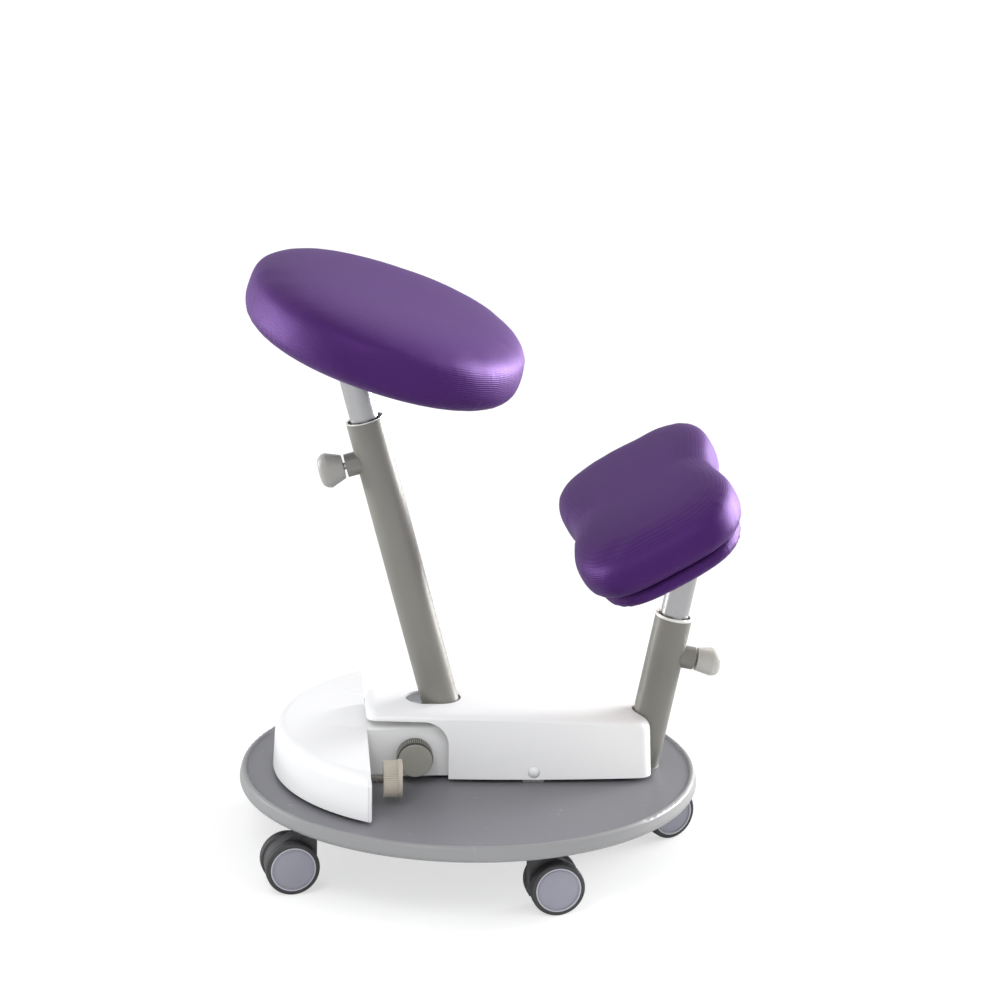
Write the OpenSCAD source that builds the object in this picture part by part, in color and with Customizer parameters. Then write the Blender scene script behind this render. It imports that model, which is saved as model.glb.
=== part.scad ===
// Rolling kneeling stool: a castered disc, a tilting seat column and a knee column.
// X points from the seat to the knee pad, Z up, and the floor is at zero.

/* [Base board] */
// Radius of the round base board
disc_r = 260; // [254:1:266]
// Thickness of the board
board_t = 16; // [15:0.5:17]
// Height of the board underside above the floor
board_z = 74; // [73:0.5:76]
// Radius of the bulge round the rim
rim_round = 6; // [5.5:0.25:6.5]
// Radius of the raised ridge on the rim
ridge_round = 4; // [3.5:0.25:4.5]
// Height of the ridge above the board
ridge_h = 2; // [1.5:0.25:2.5]
// Thickness of the steel plate let into the board
plate_t = 4; // [3.5:0.25:4.5]
// Half width of that plate
plate_half_w = 36; // [34:1:37]
// Rear end of the plate, behind the board centre
plate_back = 112; // [110:1:114]

/* [Casters] */
// How far the circle of caster stems lies inside the disc edge
ring_inset = 38; // [36:1:41]
// How far that circle sits behind the board centre
ring_back = 12; // [11:1:13]
// Direction of the first caster
ring_turn = -142; // [-143:1:-141]
// Heading of the near left caster
yaw_a = 190; // [180:1:200]
// Heading of the near right caster
yaw_b = 9; // [0:1:18]
// Heading of the right caster
yaw_c = 28; // [20:1:36]
// Heading of the far right caster
yaw_d = 140; // [130:1:150]
// Heading of the far left caster
yaw_e = 184; // [176:1:192]
// Wheel diameter
wheel_d = 60; // [59:0.5:61]
// Width of one wheel
wheel_w = 13.5; // [13:0.25:14]
// Width of the housing between two wheels
web_w = 17; // [16.5:0.25:17.5]
// Gap between housing and wheel
wheel_gap = 0.6; // [0.5:0.1:0.8]
// Distance of the axle behind the stem
trail = 18; // [17.5:0.25:18.5]
// Axle pin diameter
axle_d = 6; // [5.5:0.25:6.5]
// Diameter of the wheel cap
cap_d = 50; // [49:0.5:51]
// Thickness of the wheel cap
cap_t = 3; // [2.5:0.25:3.5]
// Stem diameter
stem_d = 10; // [9.5:0.25:10.5]

/* [Covers] */
// Height of the lower edge of both covers
cover_z = 94.5; // [94:0.25:95]
// Wall of both covers
wall = 3; // [2.5:0.25:3.25]
// Rear end of the main cover, behind the board centre
main_back = 118; // [117:0.5:119]
// Front end of the cover, ahead of the foot of the knee column
front_cover = 7.4; // [5.4:0.2:8.4]
// Half width of the main cover at its rear end
main_rear_w = 48; // [47.5:0.25:49]
// Half width of the main cover at its belly
main_belly_w = 60.5; // [60:0.25:61]
// Position of that belly
main_belly_x = 95; // [90:1:100]
// Half width between the shoulders at their widest
shoulder_w = 53.8; // [53.5:0.1:54]
// Half width between the shoulders at the front end
shoulder_front_w = 38; // [37:0.5:39]
// Height of the crown
crown_z = 173; // [172.5:0.25:174]
// Distance of the crown behind the board centre
crown_back = 50; // [48:1:52]
// Fall of the crown line down to the front end
crown_fall = 18; // [17:0.5:19]
// Height of the crown over the shoulders
crown_h = 10; // [9:0.5:11]
// Plan radius of the front corners
front_round = 14; // [12:1:16]
// Plan radius of the rear corners
rear_round = 12; // [11:0.5:13]
// Height of the lid edge over the neck
lid_z = 161; // [160.5:0.25:161.5]
// Distance of the side edge behind the board centre
side_edge = 26; // [25:0.5:27]
// Radius of the concave corner of the side edge
side_round = 28; // [26:1:30]
// Length of the slot for the seat column
slot_l = 63; // [62:0.5:64]
// Width of that slot
slot_w = 46; // [45.5:0.25:46.5]
// Distance of the slot centre behind the board centre
slot_back = 41.5; // [41:0.5:42]
// Rear shell radius as a share of the disc radius
shell_share = 0.8538; // [0.8465:0.0005:0.8615]
// Distance of the flat face from the middle as a share of the shell radius
face_share = 0.5293; // [0.527:0.0005:0.5315]
// Height of its soft crease
shell_crease = 141; // [140:0.5:142]
// Height of its top at the flat face
shell_top = 151; // [150.5:0.25:152]
// Half width of the neck
neck_half_w = 44; // [43.5:0.25:44.5]
// Height of the neck at the flat face
neck_z = 155.5; // [155:0.25:156]
// Front end of the neck, behind the board centre
neck_front = 15; // [14.5:0.25:15.5]
// Diameter of the domed screw heads
dome_d = 13; // [12:0.5:14]
// Position of the domed screws
dome_x = 70; // [68:1:72]

/* [Seat column] */
// Rearward lean of the seat column
seat_lean = 15; // [14.5:0.25:15.25]
// Foot of its axis at ridge level, behind the board centre
seat_foot = 12.7; // [12.5:0.1:12.9]
// Length of the tube above ridge level
seat_tube_l = 420.5; // [400:2.5:435]
// Outer diameter of both tubes
tube_d = 42; // [41.75:0.05:42.2]
// Wall of both outer tubes
tube_t = 2; // [1.9:0.05:2.1]
// Diameter of both posts
post_d = 32; // [31.75:0.05:32.25]
// Wall of both posts
post_t = 2.4; // [2.2:0.1:2.6]
// Length of the post inside the seat tube
seat_inside = 200; // [190:5:210]
// Length of seat post between tube and seat underside
seat_show = 82.7; // [80:0.5:100]
// Diameter of the clamp bosses
boss_d = 26; // [25:0.25:27]
// Distance of the boss face from the tube axis
boss_reach = 33; // [32.5:0.25:34]
// Distance of the boss below the tube top
boss_drop = 47; // [46.5:0.25:48]
// Height of the tilt pivot
pivot_z = 120.5; // [120:0.25:121]
// Distance of the tilt pivot behind the board centre
pivot_back = 64; // [63.5:0.25:64.5]
// Diameter of the pivot bolt
pivot_d = 12; // [11.5:0.25:12]

/* [Knee column] */
// Forward lean of the knee column
knee_lean = 10.8; // [10.5:0.1:11]
// How far the foot of the knee column lies inside the disc edge
knee_inset = 63.4; // [63:0.1:64]
// Length of the tube above ridge level
knee_tube_l = 180.6; // [178:0.5:190]
// Length of the post inside the knee tube
knee_inside = 126; // [124:1:128]
// Length of knee post between tube and pad underside
knee_show = 108.5; // [105:0.5:120]

/* [Wing knobs] */
// Stud diameter
stud_d = 8; // [7.8:0.1:8.2]
// Diameter of the knob mouth
mouth_d = 26.5; // [25.5:0.25:27.5]
// Length of the knob
wing_l = 28; // [27:0.5:29]
// Width over both wings
wing_a = 39; // [37:0.5:40]
// Thickness of the wings
wing_b = 30; // [28:0.5:31]
// Gap between boss and knob
wing_gap = 3; // [2.5:0.25:3.5]

/* [Round knobs] */
// Diameter of the knurl
knurl_d = 41; // [40:0.5:41.5]
// Width of the knurl
knurl_w = 16; // [15.5:0.25:16.5]
// Teeth of the knurl
knurl_n = 55; // [45:1:60]
// Depth of the teeth
knurl_depth = 0.8; // [0.6:0.1:1]
// Diameter of the cap disc on the side knob
side_cap_d = 39; // [38:0.5:40]
// Diameter of the cap disc on the tension knob
tension_cap_d = 43; // [42:0.5:44]
// Thickness of both cap discs
disc_cap_t = 4.8; // [4.5:0.1:5]
// Diameter of the tension screw
tension_d = 10; // [9.5:0.25:10]
// Side position of the tension screw as a share of the shell radius
tension_share = 0.518; // [0.509:0.001:0.527]
// Height of the tension screw
tension_z = 118; // [117:0.5:119]
// Length of bare screw between cover and knob
tension_show = 16; // [15:0.5:17]

/* [Seat cushion] */
// Front down tilt of the seat
seat_tilt = 17; // [16:0.25:18]
// Depth of the seat
seat_depth = 314; // [305:1:325]
// Width of the seat
seat_width = 436; // [420:2:445]
// Thickness of the seat
seat_h = 76; // [72:1:80]
// Seat centre ahead of the post along its plane
seat_offset = 34.8; // [33:0.2:37]
// Roundness exponent of the seat outline
seat_n = 2.15; // [2.05:0.05:2.3]

/* [Knee pad] */
// Front up tilt of the pad
knee_tilt = 29.5; // [28.5:0.25:30.5]
// Depth of the pad
knee_depth = 200; // [195:1:205]
// Width of the pad
knee_width = 402; // [395:1:410]
// Thickness of the pad
knee_h = 56; // [53:0.5:58]
// Pad centre behind the post along its plane
knee_offset = 38.3; // [36:0.2:39]
// Roundness exponent of the pad outline
knee_n = 3.4; // [3.2:0.1:3.6]
// Share of the depth taken by the waist
waist = 0.183; // [0.17:0.001:0.19]
// Reach of the waist as a share of the half width
waist_s = 0.36; // [0.34:0.01:0.38]
// Thickness of the lower band
band_h = 26; // [24:0.5:27]
// Size of the band as a share of the pad
band_share = 0.955; // [0.945:0.005:0.96]

/* [Hidden] */
// Colours of the materials
c_disc = [0.55, 0.55, 0.57];
c_steel = [0.62, 0.62, 0.62];
c_tube = [0.56, 0.55, 0.52];
c_white = [0.93, 0.93, 0.93];
c_dark = [0.16, 0.16, 0.17];
c_cap = [0.56, 0.56, 0.62];
c_knob = [0.80, 0.80, 0.78];
c_side = [0.53, 0.53, 0.49];
c_beige = [0.74, 0.68, 0.62];
c_cover = [0.36, 0.22, 0.45];
c_wood = [0.70, 0.55, 0.38];
c_rubber = [0.12, 0.12, 0.12];
c_plastic = [0.30, 0.30, 0.30];

// Fits and overruns
fit = 0.05;
key_fit = 0.1;
clear = 0.3;
over = 1;
fine = 128;
round_n = 48;
knob_n = 32;
half = 0.5;
fastener_d = 6;
head_d = 11;
head_t = 3;

// Board levels
board_top = board_z + board_t;
ridge_top = board_top + ridge_h;
rim_c = disc_r - rim_round;
ridge_z = ridge_top - ridge_round;
rim_lean = asin((rim_round - ridge_round) / (ridge_z - board_z - rim_round));
plate_z = board_top - plate_t;
shell_r = disc_r * shell_share;
shell_face = shell_r * face_share;
tension_y = shell_r * tension_share;
knee_foot = disc_r - knee_inset;
main_front = knee_foot + front_cover;

// Caster levels
ring_r = disc_r - ring_inset;
caster_yaws = [yaw_a, yaw_b, yaw_c, yaw_d, yaw_e];
caster_step = 72;
axle_z = wheel_d * half;
wheel_in = web_w * half + wheel_gap;
wheel_out = wheel_in + wheel_w;
socket_wall = 2;
socket_d = stem_d + 2 * socket_wall;
collar_share = 1.8;
collar_d = stem_d * collar_share;
collar_t = stem_d * half;
flange_share = 2.2;
flange_d = stem_d * flange_share;
flange_t = 1.5;
socket_top = plate_z - over;
hood_top = board_z - flange_t - collar_t - clear;
drum_share = 0.93;
hood_low_share = 0.35;

// Frame in the middle of the bounding box
knee_front_share = 1.035;
knee_run = (knee_tube_l + knee_show) * sin(knee_lean);
pad_rise = knee_h * half * knee_front_share;
pad_nose = knee_depth * half * cos(knee_tilt) - knee_offset * cos(knee_tilt);
front_reach = knee_foot + knee_run + pad_nose - pad_rise * sin(knee_tilt) * half;
frame_x = (disc_r - front_reach) * half;

// Steps of the soft sections in degrees
soft_steps = [-60, -50, -38, -24, -10, 4, 16, 28, 38, 47, 55, 63, 71, 79, 86];
band_steps = [-30, -15, 0, 18, 34, 48, 60];

// Cushion levels
soft_share = pow(sin(-soft_steps[0]), half);
seat_under = seat_h * half * soft_share;
pad_under = knee_h * half * soft_share;
band_c = pad_under + band_h * half * soft_share;
band_under = band_c - band_h * half * power(sin(band_steps[0]), half);
pan_share = 0.62;
seat_pan_t = 12;
knee_pan_t = 10;
bracket_t = 4;
bracket_l = 76;
bracket_w = 88;
sleeve_l = 30;
sleeve_t = 3;
rib_t = 4;

// Small sizes of the covers
draft = 2;
roof_n = 7;
corner_n = 4;
belly_n = 9;
shoulder_back = 10;
neck_edge = 8;
neck_rise = 3;
hump_l = 70;
hump_share = 0.7;
hump_drop = 8;
shell_soft = 15;
shell_lift = 5;
post_w = 12;
post_back_share = 0.7207;
post_side_share = 0.3153;
post_back = shell_r * post_back_share;
post_side = shell_r * post_side_share;
notch_gap = 2;

// Domed screws and their tabs
dome_rise = 8;
dome_z = cover_z + dome_rise;
dome_share = 1.12;
dome_r = dome_d * half * dome_share;
dome_sink = sqrt(pow(dome_r, 2) - pow(dome_d * half, 2));
dome_face = main_side(dome_x, dome_z + dome_d * half) - fit;
tab_w = 24;
tab_t = 4;
tab_top = dome_z + dome_d * half;
tab_face = main_side(dome_x, tab_top) - wall - clear;

// Plate and its screws
foot_margin = 2;
foot_r = tube_d * half + foot_margin;
foot_shift = foot_margin * half;
plate_waist = 165;
screw_l = 12;
screw_y = 29;
screw_back = 100;
screw_mid = 30;
screw_front = 150;
under_l = 30;

// Tilt pivot
ear_t = 5;
ear_r = 16;
rocker_half = 23;
ear_gap = 1;
ear_c = rocker_half + ear_gap + ear_t * half;
ear_out = ear_c + ear_t * half;
rocker_gap = 3;
rocker_room = 22;
rocker_rise = 10;
rocker_low = board_top + rocker_rise;
cup_low = 14;
cup_l = 38;
column_low = 18;
cheek_y = 15;
cheek_t = 5;
tail_l = 46;
tail_w = 18;
tail_t = 12;
tail_in = 2;
stop_h = 13;
bolt_head_d = 20;
bolt_head_t = 7;
sleeve_d = 19;
knob_gap = 3;
knob_face = neck_half_w + knob_gap;
bolt_in = 14;

// Tension screw
nut_share = 0.7253;
nut_back = shell_r * nut_share;
nut_t = 13;
nut_run = 8;
nut_w = 26;
nut_room = 7;
nut_stop = nut_back - nut_t - nut_room;
bracket_foot = nut_stop - plate_t - head_d * half - clear;
bracket_end = bracket_foot - head_d * half;

// Tubes and posts
bush_l = 38;
bush_sink = 2;
glide_l = 18;
groove_t = 1.2;
stud_in = 16;
pan_screw_l = 12;
pan_knee_share = 0.8;
rib_share = 0.42;
rib_drop = 0.95;

// Wing knobs
dome_steps = [12, 28, 44, 58, 70, 80];
wing_n = 5;
wing_round = 2.5;
wing_share = 0.6;
cap_round = 1.5;

// Small sizes of the casters
hood_r = 11;
drum_join = 0.88;
stem_low = 42;
tyre_round = 3;
cap_proud = 0.8;

// Signed power, for rounded outlines
function power(v, e) = sign(v) * pow(abs(v), e);

// Point of a rounded outline with half sizes a and b at angle t
function lobe(a, b, n, t) = [a * power(cos(t), 2 / n), b * power(sin(t), 2 / n)];

// Point pulled in towards the waist of the knee pad
function pinch(p, b) = [p[0] * (1 - waist * exp(-pow(p[1] / (waist_s * b), 2))), p[1]];

// Seat outline at a share k of its size
function seat_outline(k) = [for (i = [0 : round_n - 1])
    lobe(k * seat_depth * half, k * seat_width * half, seat_n, 360 * i / round_n)];

// Knee pad outline at a share k of its size
function knee_outline(k) = [for (i = [0 : round_n - 1])
    pinch(lobe(k * knee_depth * half, k * knee_width * half, knee_n, 360 * i / round_n),
        k * knee_width * half)];

// Share of the outline and of the half thickness at angle t of a soft section
function soft_r(t) = sqrt(cos(t));
function soft_z(t) = power(sin(t), half);

// Flat outline lifted to a height
function lift(outline, z) = [for (p = outline) [p[0], p[1], z]];

// Solid through a stack of rings with equal counts
module loft(rings) {
    n = len(rings[0]);
    last = len(rings) - 1;
    points = [for (r = rings) each r];
    sides = [for (j = [0 : last - 1], i = [0 : n - 1]) let (k = (i + 1) % n)
        each [[j * n + i, (j + 1) * n + i, (j + 1) * n + k], [j * n + i, (j + 1) * n + k, j * n + k]]];
    middle = [for (r = [rings[0], rings[last]]) [for (i = r) 1] * r / n];
    low = [for (i = [0 : n - 1]) [i, (i + 1) % n, (last + 1) * n]];
    high = [for (i = [0 : n - 1]) [last * n + (i + 1) % n, last * n + i, (last + 1) * n + 1]];
    polyhedron(concat(points, middle), concat(sides, low, high));
}

// Point t along a curve from p to q that aims at k
function bend(p, k, q, t) = (1 - t) * (1 - t) * p + 2 * t * (1 - t) * k + t * t * q;

// Right half of a cover section, from the lower edge up to the crown line
function half_section(b, zb, c, zc, zt) =
    let (lean = (b - c) / (zc - zb))
    [[b, zb], for (i = [0 : roof_n]) bend([c, zc], [c - lean * (zt - zc), zt], [0, zt], i / roof_n)];

// Whole cover section at x
function section(x, b, zb, c, zc, zt) =
    let (h = half_section(b, zb, c, zc, zt))
    [for (p = h) [x, p[0], p[1]], for (i = [len(h) - 2 : -1 : 0]) [x, -h[i][0], h[i][1]]];

// Half widths and crown height of the main cover at x
function main_b(x) = main_belly_w
    - (main_belly_w - main_rear_w) * pow((x - main_belly_x) / (main_back + main_belly_x), 2);
function main_c(x) = min(main_b(x) - draft, shoulder_w
    - (shoulder_w - shoulder_front_w) * pow((x + shoulder_back) / (main_front + shoulder_back), 2));
function main_zt(x) = crown_z - crown_fall * pow((x + crown_back) / (main_front + crown_back), 2);

// Outer side of the main cover at x and height z
function main_side(x, z) = main_b(x)
    - (main_b(x) - main_c(x)) * (z - cover_z) / (main_zt(x) - crown_h - cover_z);

// Main cover section at x, drawn in by n and set off by g
function main_ring(x, n, g) = section(x, main_b(x) - n - g, cover_z - (g > 0 ? over : 0),
    main_c(x) - n - g, main_zt(x) - crown_h - n * half - g, main_zt(x) - n * half - g);

// All main cover sections, set off by g
function main_rings(g) =
    let (x0 = -main_back + g, x1 = main_front - g, r0 = rear_round - g, r1 = front_round - g)
    concat(
        [for (i = [0 : corner_n]) let (t = 90 * i / corner_n)
            main_ring(x0 + r0 * (1 - cos(t)), r0 * (1 - sin(t)), g)],
        [for (i = [1 : belly_n - 1]) main_ring(x0 + r0 + (x1 - x0 - r0 - r1) * i / belly_n, 0, g)],
        [for (i = [corner_n : -1 : 0]) let (t = 90 * i / corner_n)
            main_ring(x1 - r1 * (1 - cos(t)), r1 * (1 - sin(t)), g)]);

// Neck of the rear cover, set off by g
function neck_ring(x, k, zt, g) = section(x, k * neck_half_w - g, cover_z - (g > 0 ? over : 0),
    k * neck_half_w - draft - g, zt - neck_edge - g, zt - g);
function neck_rings(g) = [
    neck_ring(-shell_face - hump_l, hump_share, shell_top - hump_drop, g),
    neck_ring(-shell_face - hump_l * half, (1 + hump_share) * half, neck_z - hump_drop * half, g),
    neck_ring(-shell_face, 1, neck_z, g),
    neck_ring(-neck_front + (g > 0 ? over : 0), 1, neck_z + neck_rise, g)
];

// Half outline of the round shell, set off by g
function shell_outline(g) = concat(
    [[0, cover_z - (g > 0 ? over : 0)], [shell_r - g, cover_z - (g > 0 ? over : 0)]],
    [for (i = [0 : roof_n]) bend([shell_r - draft - g, shell_crease - neck_edge - g],
        [shell_r - draft * 2 - g, shell_crease + draft - g],
        [shell_r - shell_soft - g, shell_crease + shell_lift - g], i / roof_n)],
    [[shell_face, shell_top - g], [0, shell_top + draft - g]]);

// Places
module in_frame() {
    translate([frame_x, 0, 0])
        children();
}

module seat_axis() {
    translate([-seat_foot, 0, ridge_top])
        rotate([0, -seat_lean, 0])
            children();
}

module knee_axis() {
    translate([knee_foot, 0, ridge_top])
        rotate([0, knee_lean, 0])
            children();
}

module seat_plane() {
    seat_axis()
        translate([0, 0, seat_tube_l + seat_show])
            rotate([0, seat_lean + seat_tilt, 0])
                children();
}

module knee_plane() {
    knee_axis()
        translate([0, 0, knee_tube_l + knee_show])
            rotate([0, -knee_lean - knee_tilt, 0])
                children();
}

module at_caster(k) {
    turn = ring_turn + caster_step * k;
    translate([-ring_back + ring_r * cos(turn), ring_r * sin(turn), 0])
        rotate([0, 0, caster_yaws[k]])
            children();
}

module at_axle(k) {
    at_caster(k)
        translate([trail, 0, axle_z])
            rotate([90, 0, 0])
                children();
}

module at_pivot() {
    translate([-pivot_back, 0, pivot_z])
        rotate([90, 0, 0])
            children();
}

module at_tension() {
    translate([0, -tension_y, tension_z])
        rotate([0, 90, 0])
            children();
}

module at_base_screws() {
    for (x = [-screw_back, screw_mid, screw_front], s = [-1, 1])
        translate([x, s * screw_y, board_top])
            children();
    for (s = [-1, 1])
        translate([-bracket_foot, -tension_y + s * head_d, board_top + plate_t])
            children();
}

module at_under_screws() {
    for (s = [-1, 1])
        translate([-post_back, s * post_side, board_z])
            children();
}

module at_domes() {
    for (s = [0, 1])
        mirror([0, s, 0])
            translate([dome_x, -dome_face, dome_z])
                rotate([90, 0, 0])
                    children();
}

// Outline of the steel plate let into the board, grown by g
module plate_outline(g) {
    translate([-plate_back - g, -plate_half_w - g])
        square([plate_back + plate_waist + 2 * g, 2 * (plate_half_w + g)]);
    translate([-plate_back * half, -foot_r - g])
        square([plate_back * half + knee_foot, 2 * (foot_r + g)]);
    translate([knee_foot - foot_shift, 0])
        circle(r = foot_r + g, $fn = fine);
    translate([dome_x - tab_w * half - g, -tab_face - g])
        square([tab_w + 2 * g, 2 * (tab_face + g)]);
}

module rounded(l, w, r) {
    square([l, w - 2 * r], center = true);
    square([l - 2 * r, w], center = true);
    for (sx = [-1, 1], sy = [-1, 1])
        translate([sx * (l * half - r), sy * (w * half - r)])
            circle(r = r, $fn = round_n);
}

// Round bar with a head at its foot
module screw(l) {
    cylinder(d = fastener_d, h = l, $fn = round_n);
    translate([0, 0, -head_t])
        cylinder(d = head_d, h = head_t, $fn = round_n);
}

module rim_profile() {
    translate([0, board_z])
        square([rim_c, board_t]);
    translate([rim_c, board_z + rim_round])
        circle(r = rim_round, $fn = round_n);
    translate([rim_c, ridge_z])
        circle(r = ridge_round, $fn = round_n);
    polygon([
        [rim_c, board_z + rim_round],
        [rim_c + rim_round * cos(rim_lean), board_z + rim_round * (1 + sin(rim_lean))],
        [rim_c + ridge_round * cos(rim_lean), ridge_z + ridge_round * sin(rim_lean)],
        [rim_c, ridge_z]
    ]);
}

module base_disc() {
    color(c_disc)
        in_frame()
            difference() {
                rotate_extrude($fn = fine)
                    rim_profile();
                translate([0, 0, plate_z])
                    linear_extrude(plate_t + over)
                        plate_outline(fit);
                for (k = [0 : 4])
                    at_caster(k)
                        translate([0, 0, board_z - over])
                            cylinder(d = socket_d, h = socket_top - board_z + over, $fn = round_n);
                at_base_screws()
                    translate([0, 0, -screw_l])
                        cylinder(d = fastener_d, h = screw_l + over, $fn = round_n);
                at_under_screws()
                    translate([0, 0, -over])
                        cylinder(d = fastener_d, h = board_t + 2 * over, $fn = round_n);
            }
}

module base_plate() {
    color(c_steel)
        in_frame()
            difference() {
                union() {
                    translate([0, 0, plate_z])
                        linear_extrude(plate_t)
                            plate_outline(0);
                    for (s = [-1, 1])
                        translate([-pivot_back, s * ear_c, 0])
                            rotate([90, 0, 0])
                                translate([0, 0, -ear_t * half])
                                    linear_extrude(ear_t) {
                                        translate([0, pivot_z])
                                            circle(r = ear_r, $fn = fine);
                                        translate([-ear_r, plate_z + fit])
                                            square([2 * ear_r, pivot_z - plate_z - fit]);
                                    }
                    for (s = [-1, 1])
                        translate([dome_x - tab_w * half, s * (tab_face - tab_t * half) - tab_t * half, plate_z])
                            cube([tab_w, tab_t, tab_top - plate_z]);
                }
                at_pivot()
                    cylinder(d = pivot_d + 2 * fit, h = 4 * ear_c, center = true, $fn = fine);
                at_base_screws()
                    translate([0, 0, -screw_l])
                        cylinder(d = fastener_d, h = screw_l + over, $fn = round_n);
                at_domes()
                    cylinder(d = fastener_d, h = 4 * tab_t, center = true, $fn = round_n);
            }
}

module base_screws() {
    color(c_steel)
        in_frame()
            at_base_screws()
                mirror([0, 0, 1])
                    screw(screw_l - over);
}

module under_screws() {
    color(c_steel)
        in_frame()
            at_under_screws()
                screw(board_t + under_l);
}

module rear_cover() {
    color(c_white)
        in_frame()
            difference() {
                union() {
                    difference() {
                        union() {
                            difference() {
                                rotate_extrude($fn = fine)
                                    polygon(shell_outline(0));
                                translate([-shell_face, -shell_r, 0])
                                    cube([2 * shell_r, 2 * shell_r, crown_z]);
                            }
                            loft(neck_rings(0));
                        }
                        difference() {
                            rotate_extrude($fn = fine)
                                polygon(shell_outline(wall));
                            translate([-shell_face - wall, -shell_r, 0])
                                cube([2 * shell_r, 2 * shell_r, crown_z]);
                        }
                        loft(neck_rings(wall));
                    }
                    at_under_screws()
                        translate([0, 0, board_t])
                            cylinder(d = post_w, h = shell_crease - board_top + shell_lift + over, $fn = round_n);
                }
                at_under_screws()
                    cylinder(d = fastener_d, h = board_t + under_l + over, $fn = round_n);
                translate([-pivot_back - rocker_room, -rocker_half - rocker_gap, shell_crease])
                    cube([2 * pivot_back, 2 * (rocker_half + rocker_gap), crown_z - shell_crease]);
                at_pivot()
                    cylinder(d = sleeve_d + 2 * clear, h = 2 * neck_half_w, $fn = round_n);
                at_tension()
                    translate([0, 0, -shell_face - 2 * wall])
                        cylinder(d = tension_d + 2 * clear, h = 4 * wall, $fn = round_n);
            }
}

module main_cover() {
    color(c_white)
        in_frame()
            difference() {
                loft(main_rings(0));
                loft(main_rings(wall));
                translate([0, 2 * main_belly_w, 0])
                    rotate([90, 0, 0])
                        linear_extrude(4 * main_belly_w) {
                            translate([-2 * main_back, 0])
                                square([2 * main_back - side_edge - side_round, lid_z]);
                            translate([-2 * main_back, 0])
                                square([2 * main_back - side_edge, lid_z - side_round]);
                            translate([-side_edge - side_round, lid_z - side_round])
                                circle(r = side_round, $fn = fine);
                        }
                translate([-slot_back, 0, lid_z])
                    linear_extrude(crown_z) {
                        square([slot_l - slot_w, slot_w], center = true);
                        for (s = [-1, 1])
                            translate([s * (slot_l - slot_w) * half, 0])
                                circle(d = slot_w, $fn = fine);
                    }
                knee_axis()
                    cylinder(d = tube_d + 2 * notch_gap, h = crown_z, center = true, $fn = fine);
                at_domes()
                    cylinder(d = dome_d + clear, h = dome_d, $fn = round_n);
                at_domes()
                    cylinder(d = fastener_d, h = 4 * tab_t, center = true, $fn = round_n);
            }
}

module cover_screws() {
    color(c_white)
        in_frame()
            at_domes() {
                difference() {
                    translate([0, 0, -dome_sink])
                        sphere(r = dome_r, $fn = round_n);
                    translate([-dome_d, -dome_d, -2 * dome_d])
                        cube([2 * dome_d, 2 * dome_d, 2 * dome_d]);
                }
                translate([0, 0, -2 * tab_t])
                    cylinder(d = fastener_d, h = 2 * tab_t + fit, $fn = round_n);
            }
}

// Outer tube from s0 to s1 along its axis, with a clamp boss on the side s
module column(s0, s1, s) {
    difference() {
        union() {
            translate([0, 0, s0])
                cylinder(d = tube_d, h = s1 - s0, $fn = fine);
            translate([0, 0, s1 - boss_drop])
                rotate([0, s * 90, 0])
                    cylinder(d = boss_d, h = boss_reach, $fn = fine);
        }
        translate([0, 0, s0 - over])
            cylinder(d = tube_d - 2 * tube_t, h = s1 - s0 + 2 * over, $fn = fine);
        translate([0, 0, s1 - boss_drop])
            rotate([0, s * 90, 0])
                cylinder(d = stud_d + 2 * fit, h = boss_reach + over, $fn = round_n);
    }
}

// Guide ring under the mouth of a tube whose top lies at s1
module bush(s1) {
    translate([0, 0, s1 - bush_l - bush_sink])
        difference() {
            cylinder(d = tube_d - 2 * tube_t, h = bush_l, $fn = fine);
            translate([0, 0, -over])
                cylinder(d = post_d + 2 * fit, h = bush_l + 2 * over, $fn = fine);
        }
}

// Guide ring on the foot of a post
module glide(s0) {
    translate([0, 0, s0])
        difference() {
            cylinder(d = tube_d - 2 * tube_t - 2 * fit, h = glide_l, $fn = fine);
            translate([0, 0, -over])
                cylinder(d = post_d, h = glide_l + 2 * over, $fn = fine);
        }
}

// Post from s0 to s1 with its key groove on the side s
module post(s0, s1, s) {
    difference() {
        translate([0, 0, s0])
            cylinder(d = post_d, h = s1 - s0, $fn = fine);
        translate([0, 0, s0 - over])
            cylinder(d = post_d - 2 * post_t, h = s1 - s0 + 2 * over, $fn = fine);
        translate([s * post_d - post_d * half + s * (-groove_t), -stud_d * half - key_fit, s0 - over])
            cube([post_d, stud_d + 2 * key_fit, s1 - s0 + 2 * over]);
    }
}

// Space above the lower face of a bracket
module above(z) {
    translate([-disc_r, -disc_r, z])
        cube([2 * disc_r, 2 * disc_r, disc_r]);
}

module bracket_plate() {
    translate([0, 0, -bracket_t])
        linear_extrude(bracket_t)
            rounded(bracket_l, bracket_w, head_d);
    rotate([90, 0, 0])
        translate([0, 0, -rib_t * half])
            linear_extrude(rib_t)
                polygon([
                    [-bracket_l * rib_share, -bracket_t * half],
                    [0, -sleeve_l * rib_drop],
                    [bracket_l * rib_share, -bracket_t * half]
                ]);
}

module at_bracket_screws() {
    for (sx = [-1, 1], sy = [-1, 1])
        translate([sx * (bracket_l * half - head_d), sy * (bracket_w * half - head_d), -bracket_t])
            children();
}

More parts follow.
